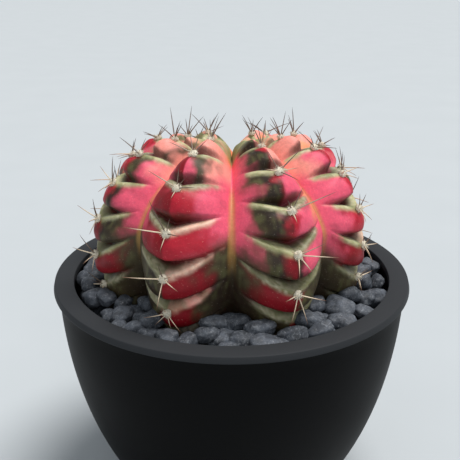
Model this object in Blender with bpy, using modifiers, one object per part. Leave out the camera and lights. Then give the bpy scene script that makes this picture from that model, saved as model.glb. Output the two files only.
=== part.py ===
"""Potted globe cactus: eight-ribbed body with spine tufts, gravel top dressing, round bowl pot.

Metres, +Z up. The pot's base centre is the origin and the front of the plant faces -Y.
"""
import math
import random

import bmesh
import bpy
from mathutils import Matrix, Vector

# ---------------------------------------------------------------- driving dimensions
POT_DIAMETER = 0.0900       # across the top edge of the rim
POT_HEIGHT = 0.0600         # base to rim top
BOWL_RATIO = 1.237          # half height of the ellipse the wall follows, in pot heights
BAND_HEIGHT = 0.0015        # upright face under the rim's top edge
BAND_FLARE = 0.0004         # how far the band leans out at its lower edge
BAND_STEP = 0.0013          # set-back of the wall under the band
WALL_THICKNESS = 0.0038     # pot wall, measured level
FLOOR_THICKNESS = 0.0045
FOOT_WIDTH = 0.0050         # flat ring the pot stands on
FOOT_RECESS = 0.0012        # how far the middle of the base is raised
DRAIN_DIAMETER = 0.0120
GAP = 0.0003                # clearance between pieces that touch in the real object

GRAVEL_SURFACE = 0.0020     # mean gravel level below the rim
GRAVEL_DEPTH = 0.0065
GRAVEL_HEAP = 0.0010        # how much higher the gravel lies against the plant
PEBBLE_LENGTH = 0.0072
PEBBLE_HEIGHT = 0.0024

PLANT_SCALE = 1.0           # body size against the sizes below
CREST_HUB = 0.0130          # radius about which the crest line arches
CREST_REACH = 0.0220        # crest arch, outward half axis
CREST_RISE = 0.0260         # crest arch, upward half axis
CREST_DROP = 0.0237         # crest arch, downward half axis
CREST_LEVEL = 0.0105        # height of the widest place above the rim
VALLEY_HUB = 0.0100
VALLEY_REACH = 0.0187
VALLEY_RISE = 0.0140
VALLEY_DROP = 0.0240
VALLEY_LEVEL = 0.0155
CROWN_LEVEL = 0.0290        # sunken growing point above the rim
NOTCH_DEPTH = 0.0036        # cut between one tubercle and the next
ROOT_LENGTH = 0.0200
ROOT_RADIUS = 0.0060
PAD_DIAMETER = 0.0025       # felt pad the spines grow from
SPINE_WIDTH = 0.0006

# Each rib: angle of its crest round the pot from the front, how far its tubercles sit out of
# step with the first rib, in tubercles, then its reach, its rise and the spacing of its
# tubercles against the usual ones. The plant is a little lower at the back.
RIBS = (
    ("r1", -24.5, 0.08, 1.00, 1.00, 1.00),
    ("r2", 24.5, 0.63, 0.97, 0.99, 0.965),
    ("r3", 67.5, 0.20, 0.94, 0.97, 0.955),
    ("r4", 112.0, 0.70, 0.97, 0.91, 0.97),
    ("r5", 156.0, 0.30, 1.00, 0.85, 0.99),
    ("r6", 201.0, 0.72, 0.98, 0.84, 0.97),
    ("r7", 246.5, 0.12, 0.99, 0.89, 0.99),
    ("r8", 292.5, 0.43, 0.99, 0.96, 0.955),
)
TIERS = 6

# Spines of the tufts at the front, as clock hours seen from outside and lengths in mm.
FRONT_SPINES = {
    "r1_t0": "11:5 12:6 1:7 3:4 9:4",
    "r1_t1": "11:5 12:5 1:4 9:6 6:3",
    "r1_t2": "12:5 9.5:7 3:5 1.5:3 6:3",
    "r1_t3": "11.2:8 9:9 6:4 3:5 12.7:4",
    "r1_t4": "9:9 12:4 4:6 6:6.5 2:3",
    "r1_t5": "9:5 7.5:4 4:5 5.4:5 12:3",
    "r2_t0": "11:7 12:5 1:5 3:4 7:3",
    "r2_t1": "11:5.5 2:7 3.5:4 5.5:6 9:4",
    "r2_t2": "1:5 2.6:10 6:3 9:4 11:3",
    "r2_t3": "2.2:6 3.3:8.5 5:5 6.6:5 10:3",
    "r2_t4": "3.3:6 6.8:6.5 5.5:7 1:3 9:4",
    "r2_t5": "3:4 9:4 6:2.5 12:3 1.5:3",
}
USUAL_SPINES = "9:8 3:7.5 11.4:6 1:5 5.8:5"

STEM_COLUMNS_PER_RIB = 8
STEM_RINGS = 36
POT_STEPS = 48
SOIL_STEPS = 32
GRAVEL_COLUMNS = 80
GRAVEL_ROWS = 6

RIM_RADIUS = POT_DIAMETER / 2
GRAVEL_TOP = POT_HEIGHT - GRAVEL_SURFACE
SOIL_TOP = GRAVEL_TOP - GRAVEL_DEPTH
HIGHEST_PEBBLE = GRAVEL_TOP + PEBBLE_HEIGHT / 2 + GRAVEL_HEAP * 0.7   # near a tuft


# ---------------------------------------------------------------- scene and collections
for old in list(bpy.data.objects):
    bpy.data.objects.remove(old)

plant_collection = bpy.data.collections.new("potted_globe_cactus")
bpy.context.scene.collection.children.link(plant_collection)


def plain_material(name, colour, roughness):
    material = bpy.data.materials.new(name)
    material.use_nodes = True
    shader = material.node_tree.nodes["Principled BSDF"]
    shader.inputs["Base Color"].default_value = (*colour, 1.0)
    shader.inputs["Roughness"].default_value = roughness
    shader.inputs["Metallic"].default_value = 0.0
    return material


def new_node(name, bm, material):
    mesh = bpy.data.meshes.new(name)
    bm.to_mesh(mesh)
    bm.free()
    node = bpy.data.objects.new(name, mesh)
    node.data.materials.append(material)
    plant_collection.objects.link(node)
    return node


# ---------------------------------------------------------------- turned pieces
def turned_node(name, profile, steps, material, closed):
    """Turn a profile of (radius, height) points about the axis with a Screw modifier."""
    bm = bmesh.new()
    points = [bm.verts.new((radius, 0.0, height)) for radius, height in profile]
    for start, end in zip(points, points[1:]):
        bm.edges.new((start, end))
    if closed:
        bm.edges.new((points[-1], points[0]))
    mesh = bpy.data.meshes.new(name)
    bm.to_mesh(mesh)
    bm.free()
    node = bpy.data.objects.new(name, mesh)
    node.data.materials.append(material)
    plant_collection.objects.link(node)
    turn = node.modifiers.new("turn", "SCREW")
    turn.axis = "Z"
    turn.angle = math.tau
    turn.steps = steps
    turn.render_steps = steps
    turn.use_merge_vertices = True
    turn.merge_threshold = 0.00001
    return node


def bowl_radius(height):
    """Outer wall radius of the pot at a height above its base."""
    below_rim = (POT_HEIGHT - height) / (POT_HEIGHT * BOWL_RATIO)
    top_radius = RIM_RADIUS + BAND_FLARE - BAND_STEP
    return top_radius * math.sqrt(1.0 - below_rim * below_rim)


def steps_between(start, end, count):
    return [start + (end - start) * i / (count - 1) for i in range(count)]


# ---------------------------------------------------------------- pot
floor_top = FOOT_RECESS + FLOOR_THICKNESS
foot_radius = bowl_radius(0.0)
band_bottom = POT_HEIGHT - BAND_HEIGHT
inner_rim_radius = bowl_radius(POT_HEIGHT) - WALL_THICKNESS

pot_profile = [
    (RIM_RADIUS, POT_HEIGHT),
    (RIM_RADIUS + BAND_FLARE, band_bottom),
]
for height in steps_between(band_bottom - BAND_STEP, 0.0, 9):
    pot_profile.append((bowl_radius(height), height))
pot_profile.append((foot_radius - FOOT_WIDTH, 0.0))
pot_profile.append((foot_radius - FOOT_WIDTH - FOOT_RECESS, FOOT_RECESS))
pot_profile.append((DRAIN_DIAMETER / 2, FOOT_RECESS))
pot_profile.append((DRAIN_DIAMETER / 2, floor_top))
for height in steps_between(floor_top, POT_HEIGHT - BAND_HEIGHT, 7):
    pot_profile.append((bowl_radius(height) - WALL_THICKNESS, height))
pot_profile.append((inner_rim_radius, POT_HEIGHT))
pot = turned_node(
    "pot",
    pot_profile,
    POT_STEPS,
    plain_material("pot_matte_black", (0.012, 0.012, 0.013), 0.42),
    closed=True,
)


# ---------------------------------------------------------------- shape of the stem
def fall_of(count):
    """Angle down the rib arch, in degrees, at a tubercle count from the crown."""
    return 73.0 - 24.5 * count + 0.5 * count * count


def tubercles_down(rib, fall):
    """Tubercles passed at an angle down a rib's arch, counted from its first full one."""
    count = 24.5 - math.sqrt(24.5 * 24.5 - 2.0 * (73.0 - fall))
    return (count - RIBS[rib][2]) / RIBS[rib][5]


def crest_sizes(rib):
    reach, rise = RIBS[rib][3], RIBS[rib][4]
    return CREST_HUB, CREST_REACH * reach, CREST_RISE * rise, CREST_DROP, CREST_LEVEL


def arch_point(fall, hub, reach, rise, drop, level):
    """Radius and height above the rim on one arch, 180 at the growing point, -90 underneath."""
    angle = math.radians(fall)
    if fall > 90.0:
        radius = hub + hub * math.cos(angle)
        height = CROWN_LEVEL + (level + rise - CROWN_LEVEL) * math.sin(angle)
        return radius, height
    radius = hub + reach * math.cos(angle)
    height = level + (rise if fall > 0.0 else drop) * math.sin(angle)
    return radius, height


def smooth(low, high, value):
    part = min(1.0, max(0.0, (value - low) / (high - low)))
    return part * part * (3.0 - 2.0 * part)


def notch(phase):
    """Depth of the cut between tubercles: 0 at the spine pad and chin, 1 in the notch."""
    if phase < 0.72:
        return smooth(0.50, 0.72, phase)
    return 1.0 - smooth(0.72, 1.02, phase)


rib_angles = [rib[1] for rib in RIBS]
angles_before = [rib_angles[-1] - 360.0] + rib_angles[:-1]
angles_after = rib_angles[1:] + [rib_angles[0] + 360.0]


def rib_at(turn):
    """Rib, place across it (-1 valley, 0 crest, 1 valley) and angle, for a turn of 0 to 8."""
    rib = int(turn) % len(RIBS)
    across = (turn - int(turn)) * 2.0 - 1.0
    beside = angles_before[rib] if across < 0.0 else angles_after[rib]
    angle = rib_angles[rib] + abs(across) * (beside - rib_angles[rib]) / 2.0
    return rib, across, angle


def stem_point(turn, fall):
    """A point on the stem's skin. Falls under -90 run down the root, to -180 at its tip."""
    rib, across, angle = rib_at(turn)
    if fall < -90.0:
        down = (-90.0 - fall) / 90.0
        neck = CREST_HUB + (ROOT_RADIUS - CREST_HUB) * smooth(0.0, 0.35, down)
        radius = neck * (1.0 - smooth(0.30, 1.0, down))
        height = CREST_LEVEL - CREST_DROP - ROOT_LENGTH * down
    else:
        beside = rib - 1 if across < 0.0 else (rib + 1) % len(RIBS)
        rise_between = (RIBS[rib][4] + RIBS[beside][4]) / 2.0
        crest = arch_point(fall, *crest_sizes(rib))
        valley = arch_point(
            fall, VALLEY_HUB, VALLEY_REACH, VALLEY_RISE * rise_between, VALLEY_DROP, VALLEY_LEVEL
        )
        swell = 1.0 - abs(across) ** 1.7
        under = smooth(-35.0, -88.0, fall) if fall < -35.0 else 0.0
        swell += (1.0 - swell) * under
        phase = tubercles_down(rib, fall) % 1.0
        reach = smooth(0.85, 0.25, abs(across)) if abs(across) > 0.25 else 1.0
        fade = smooth(112.0, 80.0, fall) if fall > 80.0 else 1.0
        fade *= 1.0 - under
        fade *= 0.5 + 0.5 * smooth(64.0, 30.0, fall)
        cut = NOTCH_DEPTH * notch(phase) * reach * fade
        lean = math.radians(fall)
        radius = valley[0] + (crest[0] - valley[0]) * swell - cut * math.cos(lean)
        height = valley[1] + (crest[1] - valley[1]) * swell - cut * math.sin(lean)
    bearing = math.radians(angle)
    radius *= PLANT_SCALE
    return Vector((
        radius * math.sin(bearing),
        -radius * math.cos(bearing),
        POT_HEIGHT + height * PLANT_SCALE,
    ))


def crest_radius(height_above_rim):
    """Largest reach of the stem at a level under its widest place."""
    drop = (height_above_rim / PLANT_SCALE - CREST_LEVEL) / CREST_DROP
    drop = max(-1.0, min(0.0, drop))
    return PLANT_SCALE * (CREST_HUB + CREST_REACH * math.sqrt(1.0 - drop * drop))


# ---------------------------------------------------------------- stem
def ring_fall(ring):
    """Angle down the arch for a ring of the stem mesh: most rings go to the tubercles."""
    rings = STEM_RINGS + 1
    knots = ((0.0, 180.0), (0.13, 102.0), (0.75, -32.0), (0.86, -88.0), (1.0, -180.0))
    place = ring / rings
    for (low, start), (high, end) in zip(knots, knots[1:]):
        if place <= high:
            return start + (end - start) * (place - low) / (high - low)
    return -180.0


stem_columns = STEM_COLUMNS_PER_RIB * len(RIBS)
bm = bmesh.new()
bmesh.ops.create_uvsphere(bm, u_segments=stem_columns, v_segments=STEM_RINGS + 1, radius=1.0)
for vertex in bm.verts:
    ring = round(math.acos(max(-1.0, min(1.0, vertex.co.z))) / math.pi * (STEM_RINGS + 1))
    column = round((math.atan2(vertex.co.y, vertex.co.x) % math.tau) / math.tau * stem_columns)
    vertex.co = stem_point((column % stem_columns) / STEM_COLUMNS_PER_RIB, ring_fall(ring))
bmesh.ops.recalc_face_normals(bm, faces=bm.faces)
stem = new_node("stem", bm, plain_material("stem_skin", (0.46, 0.10, 0.09), 0.50))


# ---------------------------------------------------------------- soil
# A turned plug inside the bowl, with a pit that follows the underside of the stem and its root.
soil_bottom = floor_top + GAP
soil_profile = [(0.0, soil_bottom)]
for height in steps_between(soil_bottom, SOIL_TOP, 5):
    soil_profile.append((bowl_radius(height) - WALL_THICKNESS - GAP * 1.6, height))
pit_mouth = crest_radius(SOIL_TOP - POT_HEIGHT) + GAP * 2
soil_profile.append((pit_mouth, SOIL_TOP))
underside = POT_HEIGHT + (CREST_LEVEL - CREST_DROP) * PLANT_SCALE
for height in steps_between(SOIL_TOP, underside - GAP * 2, 4)[1:]:
    reach = crest_radius(height - POT_HEIGHT) + GAP * 2
    soil_profile.append((reach, height))
root = ROOT_LENGTH * PLANT_SCALE
neck = ROOT_RADIUS * PLANT_SCALE
soil_profile.append((CREST_HUB * PLANT_SCALE, underside - GAP * 3))
soil_profile.append((neck + GAP * 4, underside - root * 0.36))
soil_profile.append((neck * 0.9, underside - root * 0.75))
soil_profile.append((0.0, underside - root - GAP * 3))
soil_profile.reverse()
soil = turned_node(
    "soil",
    soil_profile,
    SOIL_STEPS,
    plain_material("potting_soil", (0.045, 0.032, 0.024), 0.95),
    closed=False,
)


# ---------------------------------------------------------------- gravel
# One ring of gravel round the stem. Its top is heaped into pebbles; its inner edge follows
# the ribs, clear of them.
def stem_edge(turn):
    """Radius of the stem just above the gravel, at a turn round the plant."""
    widest = 0.0
    for fall in range(-50, -8, 2):
        point = stem_point(turn, fall)
        if point.z < GRAVEL_TOP + PEBBLE_HEIGHT + GRAVEL_HEAP:
            widest = max(widest, math.hypot(point.x, point.y))
    return widest


pebble_dice = random.Random(5)
gravel_outer = inner_rim_radius - GAP * 2
pebble_spots = []
for attempt in range(1600):
    spot_angle = pebble_dice.uniform(0.0, math.tau)
    spot_radius = gravel_outer * math.sqrt(pebble_dice.uniform(0.30, 0.92))
    spot = Vector((spot_radius * math.cos(spot_angle), spot_radius * math.sin(spot_angle), 0.0))
    if all((spot - other).length > PEBBLE_LENGTH * 0.72 for other in pebble_spots):
        pebble_spots.append(spot)


def gravel_height(x, y):
    """Height of the heaped pebbles at a place, as a share of a pebble's height."""
    nearest = min((Vector((x, y, 0.0)) - spot).length for spot in pebble_spots)
    return math.sqrt(max(0.0, 1.0 - (nearest / (PEBBLE_LENGTH * 0.62)) ** 2))


gravel_widest = gravel_outer - VALLEY_HUB * PLANT_SCALE - VALLEY_REACH * PLANT_SCALE / 2
bm = bmesh.new()
loop = [(share / GRAVEL_ROWS, 1) for share in range(GRAVEL_ROWS + 1)]
loop += [(1.0, 0), (0.0, 0)]
profile_verts = [bm.verts.new((1.0 + share, 0.0, float(top))) for share, top in loop]
profile_edges = [
    bm.edges.new((profile_verts[i], profile_verts[(i + 1) % len(loop)])) for i in range(len(loop))
]
bmesh.ops.spin(
    bm,
    geom=profile_verts + profile_edges,
    cent=(0.0, 0.0, 0.0),
    axis=(0.0, 0.0, 1.0),
    angle=math.tau,
    steps=GRAVEL_COLUMNS,
    use_merge=True,
    use_normal_flip=False,
    use_duplicate=False,
)
for vertex in bm.verts:
    share = math.hypot(vertex.co.x, vertex.co.y) - 1.0
    column = round((math.atan2(vertex.co.y, vertex.co.x) % math.tau) / math.tau * GRAVEL_COLUMNS)
    turn = (column % GRAVEL_COLUMNS) / GRAVEL_COLUMNS * len(RIBS)
    bearing = math.radians(rib_at(turn)[2])
    inner = stem_edge(turn) + GAP * 2
    radius = inner + (gravel_outer - inner) * share
    x = radius * math.sin(bearing)
    y = -radius * math.cos(bearing)
    if vertex.co.z < 0.5:
        height = SOIL_TOP + GAP
    else:
        height = GRAVEL_TOP - PEBBLE_HEIGHT / 2 + PEBBLE_HEIGHT * gravel_height(x, y)
        height += GRAVEL_HEAP * (1.0 - share) * (gravel_outer - inner) / gravel_widest
    vertex.co = Vector((x, y, height))
bmesh.ops.recalc_face_normals(bm, faces=bm.faces)
gravel = new_node("gravel", bm, plain_material("slate_gravel", (0.055, 0.058, 0.066), 0.62))


# ---------------------------------------------------------------- spine tufts
def spine_tuft(name, rib, fall, hours, crown):
    """A felt pad with its spines drawn out of it, standing just clear of a rib's crest."""
    turn = rib + 0.5
    foot = stem_point(turn, fall)
    above = arch_point(fall + 3.0, *crest_sizes(rib))
    below = arch_point(fall - 3.0, *crest_sizes(rib))
    bearing = math.radians(rib_angles[rib])
    side = Vector((math.cos(bearing), math.sin(bearing), 0.0))
    up = Vector((
        (above[0] - below[0]) * math.sin(bearing),
        (below[0] - above[0]) * math.cos(bearing),
        above[1] - below[1],
    )).normalized()
    outward = side.cross(up).normalized()
    pad_radius = PAD_DIAMETER / 2 * (0.8 if crown else 1.0)
    centre = foot + outward * (GAP + pad_radius * 0.62)

    bm = bmesh.new()
    bmesh.ops.create_icosphere(bm, subdivisions=1, radius=1.0)
    for vertex in bm.verts:
        local = vertex.co.copy()
        vertex.co = centre + pad_radius * (
            side * local.x + up * local.y + outward * local.z * 0.6
        )
    bm.normal_update()

    free_faces = list(bm.faces)
    for spine in hours.split():
        hour, length = (float(word) for word in spine.split(":"))
        lift = math.radians(62.0 if crown else 33.0)
        clock = math.radians(hour * 30.0)
        level = side * math.sin(clock) + up * math.cos(clock)
        aim = level * math.cos(lift) + outward * math.sin(lift)
        drop = -(aim.z - outward.z * 0.12) * length * 0.001
        headroom = centre.z - (HIGHEST_PEBBLE + SPINE_WIDTH)
        if drop > headroom:
            length *= headroom / drop
        face = max(free_faces, key=lambda each: each.normal.dot(aim))
        free_faces.remove(face)
        bmesh.ops.inset_individual(bm, faces=[face], thickness=SPINE_WIDTH * 0.25, depth=0.0)
        for share, width in ((0.5, 0.75), (0.5, 0.25)):
            grown = bmesh.ops.extrude_discrete_faces(bm, faces=[face])
            face = grown["faces"][0]
            middle = face.calc_center_median()
            step = aim * length * 0.001 * share
            aim = (aim - outward * 0.12).normalized()
            for vertex in face.verts:
                vertex.co = middle + (vertex.co - middle) * width + step
    return new_node(name, bm, spine_material)


spine_material = plain_material("spine_horn", (0.50, 0.40, 0.26), 0.55)
spine_dice = random.Random(11)
for rib, (rib_name, rib_angle, offset, reach, rise, spacing) in enumerate(RIBS):
    for tier in range(TIERS):
        fall = fall_of(offset + (tier - 1) * spacing)
        if stem_point(rib + 0.5, fall).z < HIGHEST_PEBBLE + PAD_DIAMETER * 0.55:
            continue
        label = f"{rib_name}_t{tier}"
        hours = FRONT_SPINES.get(label)
        if hours is None:
            words = []
            for spine in USUAL_SPINES.split():
                hour, length = (float(word) for word in spine.split(":"))
                hour += spine_dice.uniform(-0.5, 0.5)
                length *= spine_dice.uniform(0.6, 1.1)
                words.append(f"{hour:.2f}:{length:.2f}")
            hours = " ".join(words)
        spine_tuft(f"areole_{label}", rib, fall, hours, fall > 76.0)
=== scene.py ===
import math
import random

import bmesh
import bpy
from mathutils import Matrix, Vector, noise


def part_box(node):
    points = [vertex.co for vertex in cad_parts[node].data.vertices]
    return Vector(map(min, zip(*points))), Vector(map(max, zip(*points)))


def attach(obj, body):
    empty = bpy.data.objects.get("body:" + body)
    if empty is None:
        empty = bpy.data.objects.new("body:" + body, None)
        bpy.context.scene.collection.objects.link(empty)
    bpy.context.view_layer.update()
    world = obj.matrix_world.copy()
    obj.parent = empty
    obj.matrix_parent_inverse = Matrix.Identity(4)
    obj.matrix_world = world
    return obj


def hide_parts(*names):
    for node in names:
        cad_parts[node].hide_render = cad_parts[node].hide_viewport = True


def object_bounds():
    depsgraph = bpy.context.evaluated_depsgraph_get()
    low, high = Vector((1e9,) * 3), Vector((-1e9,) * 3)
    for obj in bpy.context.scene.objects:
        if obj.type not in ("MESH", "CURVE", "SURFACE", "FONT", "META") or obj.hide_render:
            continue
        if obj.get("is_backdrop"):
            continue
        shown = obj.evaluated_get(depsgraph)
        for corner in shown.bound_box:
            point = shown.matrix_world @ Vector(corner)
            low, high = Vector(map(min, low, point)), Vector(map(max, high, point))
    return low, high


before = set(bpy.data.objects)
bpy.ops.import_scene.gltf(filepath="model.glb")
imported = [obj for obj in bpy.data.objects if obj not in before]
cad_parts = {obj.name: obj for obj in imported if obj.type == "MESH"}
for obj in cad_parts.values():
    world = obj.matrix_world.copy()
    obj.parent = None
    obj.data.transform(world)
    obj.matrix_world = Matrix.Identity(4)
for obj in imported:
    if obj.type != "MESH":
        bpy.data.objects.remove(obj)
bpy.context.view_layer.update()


# ---------------------------------------------------------------- the pot
# A bowl-shaped pot cast in one piece and finished in smooth matte black. Its broad flat rim ends
# in a thin upright band, and the wall sets back a little under the band. It stands on a flat
# foot ring with a drain hole in the middle.
pot_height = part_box("pot")[1].z
rim_radius = 0.0450
rim_inner = 0.0403
band_height = 0.0015
band_flare = 0.0004         # how far the band's lower edge stands out past its upper one
band_underside = 0.0008     # height of the slope from the band in to the wall
wall_setback = 0.0013
wall_thickness = 0.0038
bowl_depth = 0.0742         # half height of the ellipse that the wall follows
edge_rounding = 0.00022
foot_width = 0.0050
foot_recess = 0.0012
floor_top = 0.0057
drain_radius = 0.0060


def bowl_radius(height):
    """Outside radius of the wall at a height over the foot."""
    below_rim = (pot_height - height) / bowl_depth
    return (rim_radius + band_flare - wall_setback) * math.sqrt(1.0 - below_rim * below_rim)


def mix_colours(tree, factor, low, high, place, blend="MIX"):
    """A colour mix node. Each end is a colour or the socket that brings one."""
    node = tree.nodes.new("ShaderNodeMix")
    node.data_type = "RGBA"
    node.blend_type = blend
    node.location = place
    for socket, end in ((node.inputs[0], factor), (node.inputs[6], low), (node.inputs[7], high)):
        if isinstance(end, bpy.types.NodeSocket):
            tree.links.new(end, socket)
        else:
            socket.default_value = end
    return node.outputs[2]


# Speckle: fine grains of one size scattered over a surface, as a mask and as a height. The pot's
# dust, the pebbles' mica and the skin's pores all use it.
highest_grain = 0.78        # noise level where the grains would start at a share of 0
grain_edge = 0.08
speckle = bpy.data.node_groups.new("fine_speckle", "ShaderNodeTree")
speckle.interface.new_socket("Vector", in_out="INPUT", socket_type="NodeSocketVector")
speckle.interface.new_socket("Grains per metre", in_out="INPUT", socket_type="NodeSocketFloat")
speckle.interface.new_socket("Share", in_out="INPUT", socket_type="NodeSocketFloat")
speckle.interface.new_socket("Mask", in_out="OUTPUT", socket_type="NodeSocketFloat")
speckle.interface.new_socket("Height", in_out="OUTPUT", socket_type="NodeSocketFloat")
group_in = speckle.nodes.new("NodeGroupInput")
group_out = speckle.nodes.new("NodeGroupOutput")
grains = speckle.nodes.new("ShaderNodeTexNoise")
grains.inputs["Detail"].default_value = 2.0
grains.inputs["Roughness"].default_value = 0.6
grain_mask = speckle.nodes.new("ShaderNodeMapRange")
grain_mask.interpolation_type = "SMOOTHSTEP"
grain_start = speckle.nodes.new("ShaderNodeMath")
grain_start.operation = "SUBTRACT"
grain_start.inputs[0].default_value = highest_grain
grain_full = speckle.nodes.new("ShaderNodeMath")
grain_full.operation = "ADD"
grain_full.inputs[1].default_value = grain_edge
speckle.links.new(group_in.outputs["Vector"], grains.inputs["Vector"])
speckle.links.new(group_in.outputs["Grains per metre"], grains.inputs["Scale"])
speckle.links.new(group_in.outputs["Share"], grain_start.inputs[1])
speckle.links.new(grain_start.outputs[0], grain_full.inputs[0])
speckle.links.new(grains.outputs["Fac"], grain_mask.inputs["Value"])
speckle.links.new(grain_start.outputs[0], grain_mask.inputs["From Min"])
speckle.links.new(grain_full.outputs[0], grain_mask.inputs["From Max"])
speckle.links.new(grain_mask.outputs["Result"], group_out.inputs["Mask"])
speckle.links.new(grains.outputs["Fac"], group_out.inputs["Height"])


def add_speckle(tree, vector, per_metre, share, place):
    node = tree.nodes.new("ShaderNodeGroup")
    node.node_tree = speckle
    node.location = place
    node.inputs["Grains per metre"].default_value = per_metre
    node.inputs["Share"].default_value = share
    tree.links.new(vector, node.inputs["Vector"])
    return node


matte_black = bpy.data.materials.new("matte_black_ceramic")
matte_black.use_nodes = True
tree = matte_black.node_tree
shader = tree.nodes["Principled BSDF"]
where = tree.nodes.new("ShaderNodeTexCoord")
where.location = (-1100, 0)
dust = add_speckle(tree, where.outputs["Object"], 1500.0, 0.05, (-850, 250))
cloud = tree.nodes.new("ShaderNodeTexNoise")
cloud.location = (-850, 0)
cloud.inputs["Scale"].default_value = 60.0
cloud.inputs["Detail"].default_value = 4.0
tree.links.new(where.outputs["Object"], cloud.inputs["Vector"])
black = mix_colours(
    tree, cloud.outputs["Fac"], (0.0012, 0.0012, 0.0013, 1), (0.0026, 0.0026, 0.0028, 1), (-600, 150)
)
dust_amount = tree.nodes.new("ShaderNodeMath")
dust_amount.operation = "MULTIPLY"
dust_amount.location = (-600, 350)
dust_amount.inputs[1].default_value = 0.10
tree.links.new(dust.outputs["Mask"], dust_amount.inputs[0])
dusty = mix_colours(tree, dust_amount.outputs[0], black, (0.09, 0.09, 0.09, 1), (-350, 250))
# Painted highlight: the rim and band are painted a little paler than the wall, for the light from
# above.
rim_fade = 0.0003
axes = tree.nodes.new("ShaderNodeSeparateXYZ")
axes.location = (-850, 550)
tree.links.new(where.outputs["Object"], axes.inputs[0])
rim_highlight_mask = tree.nodes.new("ShaderNodeMapRange")
rim_highlight_mask.location = (-600, 550)
rim_highlight_mask.inputs["From Min"].default_value = pot_height - band_height - rim_fade
rim_highlight_mask.inputs["From Max"].default_value = pot_height - band_height
tree.links.new(axes.outputs["Z"], rim_highlight_mask.inputs["Value"])
rim_painted_highlight = mix_colours(
    tree, rim_highlight_mask.outputs["Result"], dusty, (0.030, 0.032, 0.035, 1), (-160, 350), "ADD"
)
tree.links.new(rim_painted_highlight, shader.inputs["Base Color"])
sheen_range = tree.nodes.new("ShaderNodeMapRange")
sheen_range.location = (-350, 0)
sheen_range.inputs["To Min"].default_value = 0.46
sheen_range.inputs["To Max"].default_value = 0.58
tree.links.new(cloud.outputs["Fac"], sheen_range.inputs["Value"])
tree.links.new(sheen_range.outputs["Result"], shader.inputs["Roughness"])
cast_bump = tree.nodes.new("ShaderNodeBump")
cast_bump.location = (-350, -250)
cast_bump.inputs["Strength"].default_value = 0.06
cast_bump.inputs["Distance"].default_value = 0.0002
tree.links.new(dust.outputs["Height"], cast_bump.inputs["Height"])
tree.links.new(cast_bump.outputs["Normal"], shader.inputs["Normal"])
shader.inputs["Specular IOR Level"].default_value = 0.07

bm = bmesh.new()
pot_profile = [(rim_radius, pot_height), (rim_radius + band_flare, pot_height - band_height)]
wall_top = pot_height - band_height - band_underside
wall_steps = 22
inner_steps = 12
for i in range(wall_steps + 1):
    height = wall_top * (1.0 - i / wall_steps)
    pot_profile.append((bowl_radius(height), height))
foot_outer = bowl_radius(0.0)
pot_profile.append((foot_outer - foot_width, 0.0))
pot_profile.append((foot_outer - foot_width - foot_recess, foot_recess))
pot_profile.append((drain_radius, foot_recess))
pot_profile.append((drain_radius, floor_top))
for i in range(inner_steps + 1):
    height = floor_top + (pot_height - band_height - floor_top) * i / inner_steps
    pot_profile.append((bowl_radius(height) - wall_thickness, height))
pot_profile.append((rim_inner, pot_height))
points = [bm.verts.new((radius, 0.0, height)) for radius, height in pot_profile]
for i in range(len(points)):
    bm.edges.new((points[i - 1], points[i]))
sharp = points[:3] + [points[2 + wall_steps], points[3 + wall_steps], points[-1]]
bmesh.ops.bevel(
    bm,
    geom=sharp,
    offset=edge_rounding,
    offset_type="OFFSET",
    segments=3,
    profile=0.5,
    affect="VERTICES",
    material=-1,
)
bmesh.ops.spin(
    bm,
    geom=bm.verts[:] + bm.edges[:],
    cent=(0.0, 0.0, 0.0),
    axis=(0.0, 0.0, 1.0),
    angle=math.tau,
    steps=160,
    use_merge=True,
)
bmesh.ops.recalc_face_normals(bm, faces=bm.faces)
for face in bm.faces:
    face.smooth = True
pot_mesh = bpy.data.meshes.new("bowl_pot")
bm.to_mesh(pot_mesh)
bm.free()
pot_mesh.materials.append(matte_black)
bowl_pot = bpy.data.objects.new("bowl_pot", pot_mesh)
bpy.context.collection.objects.link(bowl_pot)
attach(bowl_pot, "root")
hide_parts("pot")


# ---------------------------------------------------------------- the soil
# Dark crumbly potting mix, filled in round the root. The gravel poured over it hides nearly all
# of it.
potting_mix = bpy.data.materials.new("potting_mix")
potting_mix.use_nodes = True
tree = potting_mix.node_tree
shader = tree.nodes["Principled BSDF"]
where = tree.nodes.new("ShaderNodeTexCoord")
where.location = (-900, 0)
crumbs = tree.nodes.new("ShaderNodeTexNoise")
crumbs.location = (-650, 0)
crumbs.inputs["Scale"].default_value = 700.0
crumbs.inputs["Detail"].default_value = 6.0
tree.links.new(where.outputs["Object"], crumbs.inputs["Vector"])
earth = mix_colours(
    tree, crumbs.outputs["Fac"], (0.010, 0.008, 0.006, 1), (0.050, 0.036, 0.026, 1), (-350, 100)
)
tree.links.new(earth, shader.inputs["Base Color"])
shader.inputs["Roughness"].default_value = 0.95
crumb_bump = tree.nodes.new("ShaderNodeBump")
crumb_bump.location = (-350, -200)
crumb_bump.inputs["Strength"].default_value = 0.8
crumb_bump.inputs["Distance"].default_value = 0.0008
tree.links.new(crumbs.outputs["Fac"], crumb_bump.inputs["Height"])
tree.links.new(crumb_bump.outputs["Normal"], shader.inputs["Normal"])
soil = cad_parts["soil"]
soil.data.materials.clear()
soil.data.materials.append(potting_mix)


# ---------------------------------------------------------------- the stem
# One fleshy globe with eight broad ribs, each a column of tubercles: a green or cream shelf that
# slopes down to its outer corner, and a bulging chin below it, cut back to a notch above the next
# shelf. It grows in one piece from a sunken point at the crown, with its root in the soil.
crest_hub, crest_reach, crest_rise, crest_drop = 0.0130, 0.0220, 0.0260, 0.0237
valley_hub, valley_reach, valley_rise, valley_drop = 0.0100, 0.0187, 0.0140, 0.0240
crest_level, valley_level, crown_level = 0.0105, 0.0155, 0.0290
notch_depth = 0.0042
root_length, root_radius = 0.0200, 0.0060
first_fall = 73.0           # angle down the rib's arch at its first full tubercle
fall_step = 24.5            # and the angle between tubercles there, which eases further down

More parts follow.
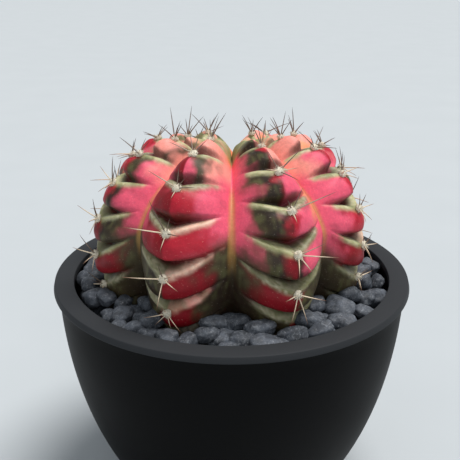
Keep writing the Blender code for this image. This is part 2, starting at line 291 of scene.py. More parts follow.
# Every rib: the angle of its crest from the front, how far its tubercles are out of step, its
# reach and its rise against the sizes above, and how closely its tubercles follow each other.
# The plant is a little lower at the back.
ribs = (
    ("r1", -24.5, 0.08, 1.00, 1.00, 1.00),
    ("r2", 24.5, 0.63, 0.97, 0.99, 0.965),
    ("r3", 67.5, 0.20, 0.94, 0.97, 0.955),
    ("r4", 112.0, 0.70, 0.97, 0.91, 0.97),
    ("r5", 156.0, 0.30, 1.00, 0.85, 0.99),
    ("r6", 201.0, 0.72, 0.98, 0.84, 0.97),
    ("r7", 246.5, 0.12, 0.99, 0.89, 0.99),
    ("r8", 292.5, 0.43, 0.99, 0.96, 0.955),
)
rib_angles = [rib[1] for rib in ribs]
angles_before = [rib_angles[-1] - 360.0] + rib_angles[:-1]
angles_after = rib_angles[1:] + [rib_angles[0] + 360.0]


def smooth(low, high, value):
    """A soft step from 0 at low to 1 at high."""
    part = min(1.0, max(0.0, (value - low) / (high - low)))
    return part * part * (3.0 - 2.0 * part)


def fall_of(count):
    """Angle down the rib's arch, in degrees, at a tubercle count from the crown."""
    return first_fall - fall_step * count + 0.5 * count * count


def tubercles_down(rib, fall):
    """Tubercles passed at an angle down a rib's arch, counted from its first full one."""
    count = fall_step - math.sqrt(fall_step * fall_step - 2.0 * (first_fall - fall))
    return (count - ribs[rib][2]) / ribs[rib][5]


def arch_point(fall, hub, reach, rise, drop, level):
    """Radius and height over the rim on an arch: 180 is the growing point, -90 underneath."""
    angle = math.radians(fall)
    if fall > 90.0:
        radius = hub + hub * math.cos(angle)
        return radius, crown_level + (level + rise - crown_level) * math.sin(angle)
    height = level + (rise if fall > 0.0 else drop) * math.sin(angle)
    return hub + reach * math.cos(angle), height


def rib_at(turn):
    """Rib, place across it (-1 and 1 are the valleys, 0 the crest) and its angle."""
    rib = int(turn) % len(ribs)
    across = (turn - int(turn)) * 2.0 - 1.0
    beside = angles_before[rib] if across < 0.0 else angles_after[rib]
    return rib, across, rib_angles[rib] + abs(across) * (beside - rib_angles[rib]) / 2.0


def crest_sizes(rib):
    """The sizes of the arch that a rib's crest follows."""
    reach, rise = ribs[rib][3], ribs[rib][4]
    return crest_hub, crest_reach * reach, crest_rise * rise, crest_drop, crest_level


def shelf_corner(across):
    """Where the shelf above a pad ends, in tubercles: at the pad on the crest, and climbing
    to meet the notch further down the flank."""
    return 1.0 - 0.36 * min(1.0, abs(across) / 0.80)


def notch_opening(across):
    """Height of the notch, in tubercles: widest at the crest, a mere crease on the flank."""
    return 0.42 - 0.27 * min(1.0, abs(across) / 0.80)


def notch_cut(phase, across):
    """Depth of the notch, from 0 on the chin to 1 at the foot of the shelf."""
    corner = shelf_corner(across)
    opening = notch_opening(across)
    deepest = corner - 0.68 * opening
    if phase < deepest:
        return smooth(corner - opening, deepest, phase)
    if phase < corner:
        return (1.0 - (phase - deepest) / (corner - deepest)) ** 1.35
    return 0.0


def stem_point(turn, fall):
    """A point on the skin. Falls under -90 run down the root, to -180 at its tip."""
    rib, across, angle = rib_at(turn)
    if fall < -90.0:
        down = (-90.0 - fall) / 90.0
        neck = crest_hub + (root_radius - crest_hub) * smooth(0.0, 0.35, down)
        radius = neck * (1.0 - smooth(0.30, 1.0, down))
        height = crest_level - crest_drop - root_length * down
    else:
        beside = rib - 1 if across < 0.0 else (rib + 1) % len(ribs)
        rise_between = (ribs[rib][4] + ribs[beside][4]) / 2.0
        crest = arch_point(fall, *crest_sizes(rib))
        valley = arch_point(
            fall, valley_hub, valley_reach, valley_rise * rise_between, valley_drop, valley_level
        )
        under = smooth(-35.0, -88.0, fall)
        swell = 1.0 - abs(across) ** 1.7
        swell += (1.0 - swell) * under
        phase = tubercles_down(rib, fall) % 1.0
        flank = min(1.0, abs(across) / 0.86)
        fade = smooth(112.0, 80.0, fall) * (1.0 - under)
        cut = notch_depth * notch_cut(phase, across) * (1.0 - flank) ** 1.1 * fade
        cut *= 0.50 + 0.50 * smooth(64.0, 30.0, fall)
        chin = 0.0009 * math.sin(math.pi * min(1.0, phase / 0.62)) * (1.0 - flank) * fade
        lean = math.radians(fall)
        radius = valley[0] + (crest[0] - valley[0]) * swell - (cut - chin) * math.cos(lean)
        height = valley[1] + (crest[1] - valley[1]) * swell - (cut - chin) * math.sin(lean)
    bearing = math.radians(angle)
    return Vector((radius * math.sin(bearing), -radius * math.cos(bearing), pot_height + height))


# The skin's colours, one letter each.
skin_colours = {
    "C": (0.450, 0.013, 0.030),   # crimson
    "D": (0.255, 0.005, 0.012),   # deep red
    "P": (0.780, 0.100, 0.170),   # pink
    "S": (0.880, 0.310, 0.255),   # salmon
    "O": (0.800, 0.300, 0.130),   # orange
    "G": (0.150, 0.152, 0.058),   # olive green
    "K": (0.026, 0.015, 0.009),   # blackish brown
    "B": (0.062, 0.046, 0.021),   # brown olive
    "Y": (0.355, 0.365, 0.155),   # pale yellow green
    "W": (0.760, 0.440, 0.330),   # cream
}
# How each flank is coloured, one word to a tubercle from the crown down: the shelf above the
# pad, then the chin at its tip, beside the crest, half way down the flank and in the valley.
flank_colours = {
    "r1_left": "YSSSO GDDPO GDDDP GDDDP GBKBB GDKKK",
    "r1_right": "YSSSO YPBSS GCCPP WCCCP WDDDB SDDBK KKKKK",
    "r2_left": "YCKBP YCKBP YCKBP YDKBP GDDDB GBKBK",
    "r2_right": "YSSSS GPPPO GCPPO GKPPP GDBBB GDKKK",
    "r3_left": "YSSSS YCPSS YCPPP YCCPP YDDDP GKBBB",
    "r3_right": "YSSOO YCPPS GCCPP YCCCP WDDCP GDDKK",
    "r4_left": "YSSOO GCCPS GCKBP YCCPP GDDBP GKKKK",
    "r4_right": "YSGGO GKBGO GCKBO GCKBP GDKBB GKKKK",
    "r5_left": "YSSOO YPPSO YCPPS WCCPP GCDDP GDKKK",
    "r5_right": "YSSOO YPPPS WCCPP WCCCP GDDDB GDKKK",
    "r6_left": "YKGGO GCKGO GCKBP YCKBP GDKBB GKKKK",
    "r6_right": "YSGGO GCBGO GCKBP GCCBP GDDKB GKKKK",
    "r7_left": "YSSSO YCPPS YCCPS GCCPP GDDBP GDKKK",
    "r7_right": "YSGSO YCCPG GCCBO GCCPP GDDBP GKKKK",
    "r8_left": "YSSOO GCCPO YCCPP YCDDP GDDKK GKKKK",
    "r8_right": "YSSBS YCBPS YCKPP YDKBP YDDDB GKBBB",
}
flank_words = {name: words.split() for name, words in flank_colours.items()}


def blend_colour(low, high, share):
    return tuple(a + (b - a) * share for a, b in zip(low, high))


def skin_colour(turn, fall, place):
    """The skin's colours, its zones' edges wandering and bleeding as a grown pattern does; the
    notches and the low valleys get painted shade.
    """
    rib, across, _ = rib_at(turn)
    name = ribs[rib][0]
    broad = noise.noise(place * 190.0)
    fine = noise.noise(place * 520.0 + Vector((3.0, 0.0, 0.0)))
    grit = noise.noise(place * 1500.0)
    bleed = noise.noise(place * 300.0 + Vector((0.0, 9.0, 4.0)))
    sway = noise.noise(place * 240.0 + Vector((7.0, 3.0, 1.0)))
    words = flank_words[name + ("_left" if across < 0.0 else "_right")]
    count = tubercles_down(rib, max(fall, -60.0)) + 1.0
    corner = shelf_corner(across) + fine * 0.04 + grit * 0.02
    opening = notch_opening(across)
    tubercle = math.floor(count)
    down = count - tubercle + 1.0 - corner     # tubercles below this one's own shelf
    if down > 1.0:
        tubercle, down = tubercle + 1, down - 1.0
    word, next_word = (words[min(len(words) - 1, max(0, n))] for n in (tubercle, tubercle + 1))
    tip, crest, middle, valley = (skin_colours[letter] for letter in word[1:])
    valley = blend_colour(valley, skin_colours[next_word[4]], smooth(0.30, 1.0, down))
    streak = noise.noise(Vector((across * 3.0 + rib * 7.0, count * 2.4, 1.0)))
    thread = noise.noise(Vector((across * 11.0 + rib * 5.0, count * 3.0, 4.0)))
    reach = abs(across) + streak * 0.16 + thread * 0.06 + broad * 0.08 + fine * 0.07 + grit * 0.03
    dark_zone = smooth(0.10, 0.45, reach) * smooth(0.90, 0.55, reach)
    chin = blend_colour(tip, crest, smooth(0.00, 0.20, reach))
    chin = blend_colour(chin, middle, smooth(0.24, 0.54, reach))
    chin = blend_colour(chin, valley, smooth(0.48, 0.84, reach))
    olive = smooth(0.16, 0.02, chin[0]) * smooth(-0.15, 0.45, thread + 0.6 * fine)
    chin = blend_colour(chin, skin_colours["G"], olive * 0.50)
    chin = blend_colour(chin, valley, smooth(0.05, 0.60, bleed) * dark_zone * 0.40)
    chin = blend_colour(chin, skin_colours["K"], smooth(0.15, 0.60, -bleed) * dark_zone * 0.30)
    # Painted shade: the notch under each chin is darkened toward blackish brown, most by the crest.
    crease = smooth(-0.07, 0.05, down - 1.0 + opening + sway * 0.03)
    crease *= smooth(0.82, 0.25, abs(across))
    chin = blend_colour(chin, blend_colour(skin_colours["K"], chin, 0.20), crease * 0.92)
    past_edge = down if down < 0.5 else down - 1.0
    shelf = skin_colours[(word if down < 0.5 else next_word)[0]]
    shelf = blend_colour(shelf, (0.90, 0.80, 0.62), 0.22 + 0.30 * grit)
    shelf = blend_colour(shelf, skin_colours["G"], smooth(0.05, 0.40, sway) * 0.55)
    # Painted shade: deep in the notch by the crest, under the chin above, the shelf is darkened
    # toward blackish brown.
    shaded = smooth(0.30, 0.05, abs(across) + fine * 0.1)
    shelf = blend_colour(shelf, skin_colours["K"], shaded * smooth(0.0, -0.8 * opening, past_edge))
    into_shelf = smooth(-0.66 * opening, -0.40 * opening, past_edge)
    off_shelf = smooth(0.16, -0.02, past_edge)
    on_shelf = into_shelf * off_shelf * smooth(0.76, 0.56, reach)
    colour = blend_colour(chin, shelf, on_shelf)
    line = smooth(0.90, 0.985, abs(across) + fine * 0.01) * smooth(-14.0, 6.0, fall)
    line *= smooth(66.0, 48.0, fall)
    colour = blend_colour(colour, (0.52, 0.27, 0.07), line * 0.75)
    # Painted shade: low down toward the valleys, by the gravel, the skin is darkened toward blackish
    # brown.
    foot = smooth(-2.0, -24.0, fall + sway * 6.0) * smooth(0.42, 0.78, abs(across) + fine * 0.1)
    colour = blend_colour(colour, skin_colours["K"], foot * 0.85)
    crown = smooth(90.0, 118.0, fall)
    colour = blend_colour(colour, skin_colours["Y"], crown * 0.75)
    return colour


bm = bmesh.new()
columns_per_rib = 44
stem_columns = columns_per_rib * len(ribs)
stem_rings = 230
bmesh.ops.create_uvsphere(bm, u_segments=stem_columns, v_segments=stem_rings, radius=1.0)
skin_layer = bm.verts.layers.float_color.new("skin")
# How far down the sphere a ring starts, and the angle along the ribs' arches it is moved to.
knots = ((0.0, 180.0), (0.10, 104.0), (0.84, -34.0), (0.92, -88.0), (1.0, -180.0))
for vertex in bm.verts:
    share = math.acos(max(-1.0, min(1.0, vertex.co.z))) / math.pi
    fall = -180.0
    for (low, start), (high, end) in zip(knots, knots[1:]):
        if low <= share <= high:
            fall = start + (end - start) * (share - low) / (high - low)
    column = round((math.atan2(vertex.co.y, vertex.co.x) % math.tau) / math.tau * stem_columns)
    turn = (column % stem_columns) / columns_per_rib
    place = stem_point(turn, fall)
    outward = Vector((place.x, place.y, place.z - pot_height - crest_level)).normalized()
    unevenness = noise.noise(place * 150.0) * 0.0004 + noise.noise(place * 420.0) * 0.00014
    vertex[skin_layer] = (*skin_colour(turn, fall, place), 1.0)
    vertex.co = place + outward * unevenness * smooth(-80.0, -40.0, fall)
bmesh.ops.recalc_face_normals(bm, faces=bm.faces)
for face in bm.faces:
    face.smooth = True
globe_mesh = bpy.data.meshes.new("globe_stem")
bm.to_mesh(globe_mesh)
bm.free()

waxy_skin = bpy.data.materials.new("waxy_cactus_skin")
waxy_skin.use_nodes = True
tree = waxy_skin.node_tree
shader = tree.nodes["Principled BSDF"]
where = tree.nodes.new("ShaderNodeTexCoord")
where.location = (-1300, -100)
grown = tree.nodes.new("ShaderNodeAttribute")
grown.location = (-1300, 300)
grown.attribute_name = "skin"
mottle = tree.nodes.new("ShaderNodeTexNoise")
mottle.location = (-1050, 50)
mottle.inputs["Scale"].default_value = 1300.0
mottle.inputs["Detail"].default_value = 4.0
mottle.inputs["Roughness"].default_value = 0.62
tree.links.new(where.outputs["Object"], mottle.inputs["Vector"])
mottle_range = tree.nodes.new("ShaderNodeMapRange")
mottle_range.location = (-850, 50)
mottle_range.inputs["From Min"].default_value = 0.32
mottle_range.inputs["From Max"].default_value = 0.68
mottle_range.inputs["To Min"].default_value = 0.91
mottle_range.inputs["To Max"].default_value = 1.09
tree.links.new(mottle.outputs["Fac"], mottle_range.inputs["Value"])
mottled = mix_colours(
    tree, 1.0, grown.outputs["Color"], mottle_range.outputs["Result"], (-620, 250), "MULTIPLY"
)
pores = add_speckle(tree, where.outputs["Object"], 2600.0, 0.13, (-1050, -250))
pore_amount = tree.nodes.new("ShaderNodeMath")
pore_amount.operation = "MULTIPLY"
pore_amount.location = (-620, -50)
pore_amount.inputs[1].default_value = 0.14
tree.links.new(pores.outputs["Mask"], pore_amount.inputs[0])
porous = mix_colours(
    tree, pore_amount.outputs[0], mottled, (0.86, 0.74, 0.60, 1), (-350, 200)
)
tree.links.new(porous, shader.inputs["Base Color"])
wax_range = tree.nodes.new("ShaderNodeMapRange")
wax_range.location = (-350, -100)
wax_range.inputs["To Min"].default_value = 0.38
wax_range.inputs["To Max"].default_value = 0.58
tree.links.new(mottle.outputs["Fac"], wax_range.inputs["Value"])
tree.links.new(wax_range.outputs["Result"], shader.inputs["Roughness"])
skin_bump = tree.nodes.new("ShaderNodeBump")
skin_bump.location = (-350, -350)
skin_bump.inputs["Strength"].default_value = 0.22
skin_bump.inputs["Distance"].default_value = 0.0002
tree.links.new(pores.outputs["Height"], skin_bump.inputs["Height"])
tree.links.new(skin_bump.outputs["Normal"], shader.inputs["Normal"])
shader.inputs["Subsurface Weight"].default_value = 0.10
shader.inputs["Subsurface Radius"].default_value = (1.0, 0.35, 0.25)
shader.inputs["Subsurface Scale"].default_value = 0.0012
shader.inputs["Specular IOR Level"].default_value = 0.26
globe_mesh.materials.append(waxy_skin)
globe_stem = bpy.data.objects.new("globe_stem", globe_mesh)
bpy.context.collection.objects.link(globe_stem)
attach(globe_stem, "root")
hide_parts("stem")


# ---------------------------------------------------------------- the gravel
# Rounded slate-black pebbles, tumbled smooth, poured over the soil round the plant. Each lies
# where it comes to rest against the ones under it, so the layer is loose and uneven.
bed_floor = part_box("gravel")[0].z
pebble_dice = random.Random(21)
pebble_reach = 0.00275      # mean half width
pebble_top = pot_height - 0.0010
heap_rise = 0.0022          # how much higher the gravel lies against the plant
shown_depth = 0.0035        # pebbles lower than this under the top are nearly hidden
edge_ceiling = pot_height + 0.0008      # the stem's widest reach under this edges the gravel
edge_spots = 64
pebbles_tried = 9000


def stem_edge(turn, ceiling):
    """The stem's widest reach under a level, at a turn round the plant."""
    widest = 0.0
    for fall in range(-56, 6, 4):
        point = stem_point(turn, fall)
        if point.z < ceiling:
            widest = max(widest, math.hypot(point.x, point.y))
    return widest


edge_turns = [i / edge_spots * len(ribs) for i in range(edge_spots)]
edge_bearings = [math.radians(rib_at(turn)[2]) % math.tau for turn in edge_turns]
edge_radii = [stem_edge(turn, edge_ceiling) for turn in edge_turns]
edge_line = sorted(zip(edge_bearings, edge_radii))


def edge_at(bearing):
    """The stem's edge in the gravel at any bearing, between the two nearest spots on it."""
    bearing %= math.tau
    before, after = edge_line[-1], edge_line[0]
    for spot in edge_line:
        if spot[0] <= bearing:
            before = spot
    for spot in reversed(edge_line):
        if spot[0] > bearing:
            after = spot
    gap = (after[0] - before[0]) % math.tau or 1.0
    share = ((bearing - before[0]) % math.tau) / gap
    return before[1] + (after[1] - before[1]) * share


resting = []
for _ in range(pebbles_tried):
    bearing = pebble_dice.uniform(0.0, math.tau)
    size = pebble_dice.uniform(0.74, 1.22)
    half = pebble_reach * size
    inner = edge_at(bearing) + half * 0.86
    outer = rim_inner - half * 1.04
    if inner > outer:
        continue
    radius = math.sqrt(pebble_dice.uniform(inner * inner, outer * outer))
    x = radius * math.sin(bearing)
    y = -radius * math.cos(bearing)
    level = bed_floor + half * 0.75
    for other_x, other_y, other_z, other_half in resting:
        near = math.hypot(x - other_x, y - other_y)
        touch = (half + other_half) * 0.97
        if near < touch:
            level = max(level, other_z + math.sqrt(touch * touch - near * near) * 0.80)
    heap = heap_rise * (rim_inner - radius) / (rim_inner - edge_at(bearing))
    if level < pebble_top + heap - half * 0.30:
        resting.append((x, y, level, half))

slate = bpy.data.materials.new("tumbled_slate")
slate.use_nodes = True
tree = slate.node_tree
shader = tree.nodes["Principled BSDF"]
where = tree.nodes.new("ShaderNodeTexCoord")
where.location = (-1300, -100)
stone_tone = tree.nodes.new("ShaderNodeAttribute")
stone_tone.location = (-1300, 300)
stone_tone.attribute_name = "stone_tone"
veins = tree.nodes.new("ShaderNodeTexNoise")
veins.location = (-1050, 50)
veins.inputs["Scale"].default_value = 420.0
veins.inputs["Detail"].default_value = 6.0
veins.inputs["Roughness"].default_value = 0.68
tree.links.new(where.outputs["Object"], veins.inputs["Vector"])
slate_colour = mix_colours(
    tree, stone_tone.outputs["Fac"], (0.025, 0.030, 0.039, 1), (0.068, 0.077, 0.094, 1), (-800, 300)
)
vein_range = tree.nodes.new("ShaderNodeMapRange")
vein_range.location = (-800, 50)
vein_range.inputs["From Min"].default_value = 0.30
vein_range.inputs["From Max"].default_value = 0.70
vein_range.inputs["To Min"].default_value = 0.45
vein_range.inputs["To Max"].default_value = 1.80
tree.links.new(veins.outputs["Fac"], vein_range.inputs["Value"])
veined = mix_colours(
    tree, 1.0, slate_colour, vein_range.outputs["Result"], (-550, 200), "MULTIPLY"
)
frost = tree.nodes.new("ShaderNodeTexNoise")
frost.location = (-1050, -250)
frost.inputs["Scale"].default_value = 700.0
frost.inputs["Detail"].default_value = 8.0
frost.inputs["Roughness"].default_value = 0.80
frost.inputs["Distortion"].default_value = 1.2
tree.links.new(where.outputs["Object"], frost.inputs["Vector"])
frost_range = tree.nodes.new("ShaderNodeMapRange")
frost_range.location = (-800, -200)
frost_range.inputs["From Min"].default_value = 0.50
frost_range.inputs["From Max"].default_value = 0.72
frost_range.inputs["To Max"].default_value = 0.62
tree.links.new(frost.outputs["Fac"], frost_range.inputs["Value"])
frosted = mix_colours(
    tree, frost_range.outputs["Result"], veined, (0.30, 0.32, 0.35, 1), (-550, -50)
)
mica = add_speckle(tree, where.outputs["Object"], 2200.0, 0.14, (-1050, -550))
mica_amount = tree.nodes.new("ShaderNodeMath")
mica_amount.operation = "MULTIPLY"
mica_amount.location = (-550, -350)
mica_amount.inputs[1].default_value = 0.40
tree.links.new(mica.outputs["Mask"], mica_amount.inputs[0])
speckled = mix_colours(
    tree, mica_amount.outputs[0], frosted, (0.42, 0.43, 0.45, 1), (-320, 150)
)
tree.links.new(speckled, shader.inputs["Base Color"])
polish = tree.nodes.new("ShaderNodeMapRange")
polish.location = (-320, -100)
polish.inputs["To Min"].default_value = 0.55
polish.inputs["To Max"].default_value = 0.85
tree.links.new(veins.outputs["Fac"], polish.inputs["Value"])
tree.links.new(polish.outputs["Result"], shader.inputs["Roughness"])
pits = tree.nodes.new("ShaderNodeBump")
pits.location = (-320, -350)
pits.inputs["Strength"].default_value = 0.55
pits.inputs["Distance"].default_value = 0.0003
tree.links.new(veins.outputs["Fac"], pits.inputs["Height"])
tree.links.new(pits.outputs["Normal"], shader.inputs["Normal"])


def pour(name, chosen, roundness):
    """One piece of gravel: every chosen pebble is a sphere squashed, worn uneven and laid."""
    bm = bmesh.new()
    tone_layer = bm.verts.layers.float.new("stone_tone")
    for x, y, level, half in chosen:
        made = bmesh.ops.create_icosphere(bm, subdivisions=roundness, radius=1.0)
        seed = Vector((x, y, level)) * 900.0
        length = half * pebble_dice.uniform(1.10, 1.52)
        width = half * pebble_dice.uniform(0.84, 1.02)
        thickness = half * pebble_dice.uniform(0.66, 0.84)
        lay = Matrix.Rotation(pebble_dice.uniform(0.0, math.tau), 3, "Z")
        lay @= Matrix.Rotation(pebble_dice.gauss(0.0, 0.26), 3, "X")
        lay @= Matrix.Rotation(pebble_dice.gauss(0.0, 0.26), 3, "Y")
        tone = pebble_dice.random()
        for vertex in made["verts"]:
            ball = vertex.co.normalized()
            wear = 1.0 + 0.26 * noise.noise(ball * 0.9 + seed) + 0.10 * noise.noise(ball * 2.4 + seed)
            wear += 0.022 * noise.noise(ball * 6.0 + seed)
            blunt = (abs(ball.x) ** 2.8 + abs(ball.y) ** 2.8 + abs(ball.z) ** 2.8) ** -0.357
            shape = ball * wear * blunt
            shape = Vector((shape.x * length, shape.y * width, shape.z * thickness))
            vertex.co = lay @ shape + Vector((x, y, level))
            vertex[tone_layer] = tone
    for face in bm.faces:
        face.smooth = True
    mesh = bpy.data.meshes.new(name)
    bm.to_mesh(mesh)
    bm.free()
    mesh.materials.append(slate)
    piece = bpy.data.objects.new(name, mesh)
    bpy.context.collection.objects.link(piece)
    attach(piece, "root")
    return piece


shown = [pebble for pebble in resting if pebble[2] > pebble_top - shown_depth]
buried = [pebble for pebble in resting if pebble[2] <= pebble_top - shown_depth]
top_pebbles = pour("top_pebbles", shown, 4)
under_pebbles = pour("under_pebbles", buried, 3)
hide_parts("gravel")
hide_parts("gravel")


# ---------------------------------------------------------------- the spine tufts
# At the outer corner of each tubercle sits a pad of cream felt with loose strands. Five stiff
# horny spines grow out of it, mostly cream with brown tips low down and mostly dark higher up.
horn = bpy.data.materials.new("spine_horn")
horn.use_nodes = True
tree = horn.node_tree
shader = tree.nodes["Principled BSDF"]
where = tree.nodes.new("ShaderNodeTexCoord")
where.location = (-1100, -150)
along = tree.nodes.new("ShaderNodeAttribute")
along.location = (-1100, 300)
along.attribute_name = "along"
darkness = tree.nodes.new("ShaderNodeAttribute")
darkness.location = (-1100, 100)
darkness.attribute_name = "darkness"
tip_range = tree.nodes.new("ShaderNodeMapRange")
tip_range.location = (-850, 350)
tip_range.interpolation_type = "SMOOTHSTEP"
tip_range.inputs["From Min"].default_value = 0.45
tip_range.inputs["From Max"].default_value = 1.0
tree.links.new(along.outputs["Fac"], tip_range.inputs["Value"])
pale = mix_colours(
    tree, tip_range.outputs["Result"], (0.80, 0.64, 0.46, 1), (0.24, 0.100, 0.050, 1), (-600, 350)
)
brown = mix_colours(
    tree, tip_range.outputs["Result"], (0.150, 0.098, 0.074, 1), (0.028, 0.014, 0.011, 1), (-600, 100)
)
horn_colour = mix_colours(tree, darkness.outputs["Fac"], pale, brown, (-380, 250))
rings = tree.nodes.new("ShaderNodeTexNoise")
rings.location = (-850, -150)
rings.inputs["Scale"].default_value = 1800.0
rings.inputs["Detail"].default_value = 3.0
tree.links.new(where.outputs["Object"], rings.inputs["Vector"])
ring_range = tree.nodes.new("ShaderNodeMapRange")
ring_range.location = (-600, -150)
ring_range.inputs["To Min"].default_value = 0.65
ring_range.inputs["To Max"].default_value = 1.30
tree.links.new(rings.outputs["Fac"], ring_range.inputs["Value"])
ringed = mix_colours(
    tree, 1.0, horn_colour, ring_range.outputs["Result"], (-160, 150), "MULTIPLY"
)
tree.links.new(ringed, shader.inputs["Base Color"])
shader.inputs["Roughness"].default_value = 0.42

felt = bpy.data.materials.new("areole_felt")
felt.use_nodes = True
tree = felt.node_tree
shader = tree.nodes["Principled BSDF"]
where = tree.nodes.new("ShaderNodeTexCoord")
where.location = (-900, 0)
wool = tree.nodes.new("ShaderNodeTexNoise")
wool.location = (-650, 0)
wool.inputs["Scale"].default_value = 3200.0
wool.inputs["Detail"].default_value = 4.0
tree.links.new(where.outputs["Object"], wool.inputs["Vector"])
wool_colour = mix_colours(
    tree, wool.outputs["Fac"], (0.52, 0.44, 0.31, 1), (0.95, 0.90, 0.76, 1), (-350, 100)
)
tree.links.new(wool_colour, shader.inputs["Base Color"])
shader.inputs["Roughness"].default_value = 0.92
wool_bump = tree.nodes.new("ShaderNodeBump")
wool_bump.location = (-350, -200)
wool_bump.inputs["Strength"].default_value = 0.8
wool_bump.inputs["Distance"].default_value = 0.0003
tree.links.new(wool.outputs["Fac"], wool_bump.inputs["Height"])
tree.links.new(wool_bump.outputs["Normal"], shader.inputs["Normal"])

pad_diameter = 0.0020
spine_width = 0.00038
tiers = 6
young_fall = 76.0           # nearer the crown, pads are smaller and spines stand straighter out
strands = 46
strand_width = 0.00006
shortest_spine = 0.0015
spine_floor = pot_height - 0.0006       # spines that point down are cut short at this level
darkness_of = {"d": 0.95, "b": 0.55, "c": 0.08}

# The spines of the tufts at the front: the clock hour each points to, seen from outside, its
# length in millimetres, and d for a dark one, b for a brown one or c for a cream one.
front_spines = {
    "r1_t0": "11:5d 12:6d 1:7d 3:4d 9:4c",
    "r1_t1": "11:5d 12:5d 1:4d 9:6b 6:3c",
    "r1_t2": "12:5d 9.5:7b 3:5d 1.5:3d 6:3c",
    "r1_t3": "11.2:8d 9:9c 6:4c 3:5d 12.7:4d",
    "r1_t4": "9:9c 12:4d 3.2:6c 6:6.5c 2:3b",
    "r1_t5": "9:5c 7.5:4c 4:5c 5.4:5c 12:3c",
    "r2_t0": "11:7d 12:5d 1:5d 3:4c 7:3c",
    "r2_t1": "11:5.5d 2:7d 3.5:4c 5.5:6d 9:4c",
    "r2_t2": "1:5d 2.6:10b 6:3c 9:4c 11:3d",
    "r2_t3": "2.2:6b 3.3:8.5c 5:5c 6.6:5c 10:3c",
    "r2_t4": "3.3:6c 6.8:6.5c 5.5:7c 1:3d 9:4c",
}
usual_spines = "9:8c 3:7.5c 11.4:6d 1:5d 5.8:5c"


def grow_spine(bm, layers, root, aim, droop, length, width, dark):
    """A slender cone drawn out ring by ring from a small disc, bending a little as it goes."""
    along_layer, dark_layer = layers
    turn_to = aim.to_track_quat("Z", "X").to_matrix().to_4x4()
    made = bmesh.ops.create_circle(
        bm, cap_ends=True, segments=6, radius=width, matrix=Matrix.Translation(root) @ turn_to
    )
    disc = made["verts"][0].link_faces[0]
    for vertex in made["verts"]:
        vertex[along_layer] = 0.0
        vertex[dark_layer] = dark
    shares = (0.10, 0.25, 0.45, 0.65, 0.83, 1.0)
    widths = (0.80, 0.92, 0.86, 0.78, 0.66, 0.30)
    last = 0.0
    for share, narrow in zip(shares, widths):
        grown = bmesh.ops.extrude_discrete_faces(bm, faces=[disc])
        disc = grown["faces"][0]
        middle = disc.calc_center_median()
        heading = (aim + droop * share).normalized()
        for vertex in disc.verts:
            vertex.co = middle + (vertex.co - middle) * narrow + heading * length * (share - last)
            vertex[along_layer] = share
            vertex[dark_layer] = dark
        last = share


def crest_frame(rib, fall):
    """Up the rib, across it and straight out of it, at a place on its crest."""
    above = arch_point(fall + 3.0, *crest_sizes(rib))
    below = arch_point(fall - 3.0, *crest_sizes(rib))
    bearing = math.radians(rib_angles[rib])
    side = Vector((math.cos(bearing), math.sin(bearing), 0.0))
    up = Vector((
        (above[0] - below[0]) * math.sin(bearing),
        (below[0] - above[0]) * math.cos(bearing),
        above[1] - below[1],
    )).normalized()
    return up, side, side.cross(up).normalized()


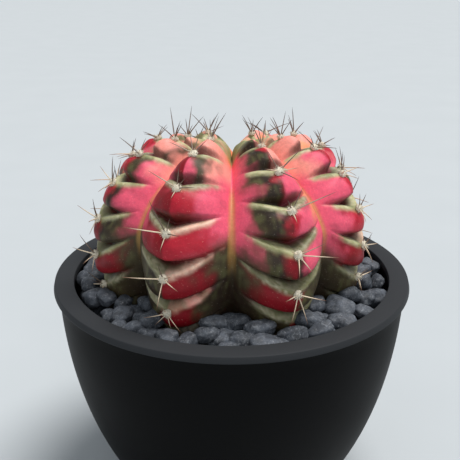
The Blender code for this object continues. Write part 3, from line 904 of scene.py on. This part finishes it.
tuft_dice = random.Random(8)
for rib, (rib_name, _, offset, _, _, spacing) in enumerate(ribs):
    for tier in range(tiers):
        label = f"{rib_name}_t{tier}"
        if f"areole_{label}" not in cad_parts:
            continue
        fall = fall_of(offset + (tier - 1) * spacing)
        up, side, outward = crest_frame(rib, fall)
        young = fall > young_fall
        pad_radius = pad_diameter / 2 * (0.85 if young else 1.0)
        centre = stem_point(rib + 0.5, fall) + outward * pad_radius * 0.40
        to_world = Matrix((side, up, outward)).transposed()

        bm = bmesh.new()
        layers = (bm.verts.layers.float.new("along"), bm.verts.layers.float.new("darkness"))
        made = bmesh.ops.create_icosphere(bm, subdivisions=3, radius=1.0)
        for vertex in made["verts"]:
            ball = vertex.co.copy()
            lump = 1.0 + 0.30 * noise.noise(ball * 2.3 + centre * 4000.0)
            ball.z *= 0.75
            vertex.co = centre + to_world @ (ball * pad_radius * lump)
        felt_faces = set(bm.faces)
        for _ in range(strands):
            way = Vector((tuft_dice.gauss(0, 1), tuft_dice.gauss(0, 1), abs(tuft_dice.gauss(0, 0.8))))
            way = to_world @ way.normalized()
            root = centre + way * pad_radius * 0.7
            strand_length = pad_radius * tuft_dice.uniform(0.45, 0.95)
            curl = Vector((tuft_dice.gauss(0, 0.5), tuft_dice.gauss(0, 0.5), tuft_dice.gauss(0, 0.5)))
            before = set(bm.faces)
            grow_spine(bm, layers, root, way, curl, strand_length, strand_width, 0.0)
            felt_faces |= set(bm.faces) - before

        words = front_spines.get(label)
        if words is None:
            usual = []
            for spine in usual_spines.split():
                hour, length = spine[:-1].split(":")
                hour = float(hour) + tuft_dice.uniform(-0.5, 0.5)
                length = float(length) * tuft_dice.uniform(0.6, 1.1)
                tone = "d" if fall > 50.0 else spine[-1]
                usual.append(f"{hour:.2f}:{length:.2f}{tone}")
            words = " ".join(usual)
        for spine in words.split():
            hour, length = spine[:-1].split(":")
            length = float(length) * 0.001
            lift = math.radians((60.0 if young else 33.0) + tuft_dice.uniform(-7.0, 7.0))
            clock = math.radians(float(hour) * 30.0)
            sideways = side * math.sin(clock) + up * math.cos(clock)
            aim = sideways * math.cos(lift) + outward * math.sin(lift)
            headroom = centre.z - spine_floor
            if -aim.z * length > headroom:
                length = max(shortest_spine, headroom / -aim.z)
            dark = darkness_of[spine[-1]] + tuft_dice.uniform(-0.08, 0.05)
            width = spine_width / 2 * (0.8 + 0.03 * length * 1000.0)
            root = centre + aim * pad_radius * 0.3
            grow_spine(bm, layers, root, aim, -outward * 0.22, length, width, dark)
        for face in bm.faces:
            face.smooth = True
            face.material_index = 1 if face in felt_faces else 0
        bmesh.ops.recalc_face_normals(bm, faces=bm.faces)
        mesh = bpy.data.meshes.new(f"tuft_{label}")
        bm.to_mesh(mesh)
        bm.free()
        mesh.materials.append(horn)
        mesh.materials.append(felt)
        tuft = bpy.data.objects.new(f"tuft_{label}", mesh)
        bpy.context.collection.objects.link(tuft)
        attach(tuft, "root")
        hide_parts(f"areole_{label}")


# ---------------------------------------------------------------- floor, light and camera
# A plain pale floor under one broad soft light from overhead, a little to the right, with a
# weak round fill light from the front and pale air all round.
bm = bmesh.new()
bmesh.ops.create_grid(bm, x_segments=1, y_segments=1, size=12.0)
floor_mesh = bpy.data.meshes.new("studio_floor")
bm.to_mesh(floor_mesh)
bm.free()
pale_floor = bpy.data.materials.new("pale_floor")
pale_floor.use_nodes = True
tree = pale_floor.node_tree
shader = tree.nodes["Principled BSDF"]
where = tree.nodes.new("ShaderNodeTexCoord")
where.location = (-900, 0)
grain = tree.nodes.new("ShaderNodeTexNoise")
grain.location = (-650, 0)
grain.inputs["Scale"].default_value = 25.0
tree.links.new(where.outputs["Object"], grain.inputs["Vector"])
floor_colour = mix_colours(
    tree, grain.outputs["Fac"], (0.45, 0.48, 0.50, 1), (0.48, 0.51, 0.53, 1), (-350, 100)
)
tree.links.new(floor_colour, shader.inputs["Base Color"])
shader.inputs["Roughness"].default_value = 0.85
floor_mesh.materials.append(pale_floor)
studio_floor = bpy.data.objects.new("studio_floor", floor_mesh)
bpy.context.collection.objects.link(studio_floor)
studio_floor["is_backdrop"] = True

fill = bpy.data.lights.new("front_fill", "AREA")
fill.shape = "DISK"
fill.size = 0.80
fill.energy = 4.0
fill.color = (0.97, 0.985, 1.0)
fill_lamp = bpy.data.objects.new("front_fill", fill)
fill_lamp.location = (0.25, -1.6, 0.9)
towards_plant = Vector((0.0, 0.0, pot_height)) - Vector((0.25, -1.6, 0.9))
fill_lamp.rotation_euler = towards_plant.to_track_quat("-Z", "Y").to_euler()
bpy.context.collection.objects.link(fill_lamp)
overhead = bpy.data.lights.new("overhead_softlight", "SUN")
overhead.energy = 3.3
overhead.angle = math.radians(34.0)
overhead.color = (1.0, 0.985, 0.965)
overhead_lamp = bpy.data.objects.new("overhead_softlight", overhead)
overhead_lamp.rotation_euler = Vector((0.30, 0.10, 1.0)).to_track_quat("Z", "Y").to_euler()
bpy.context.collection.objects.link(overhead_lamp)

world = bpy.data.worlds.new("studio_air")
bpy.context.scene.world = world
world.use_nodes = True
world.node_tree.nodes["Background"].inputs["Color"].default_value = (0.76, 0.81, 0.85, 1.0)
world.node_tree.nodes["Background"].inputs["Strength"].default_value = 0.52

bpy.context.scene.view_settings.view_transform = "Standard"

camera_tilt = 20.75          # degrees down from level
camera_data = bpy.data.cameras.new("camera")
camera_data.sensor_width = 36.0
camera_data.lens = 57.1
camera_data.clip_start = 0.01
camera = bpy.data.objects.new("camera", camera_data)
camera.location = (-0.0004, -0.1745, pot_height + 0.0767)
camera.rotation_euler = (math.radians(90.0 - camera_tilt), 0.0, 0.0)
bpy.context.collection.objects.link(camera)
bpy.context.scene.camera = camera

low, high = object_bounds()
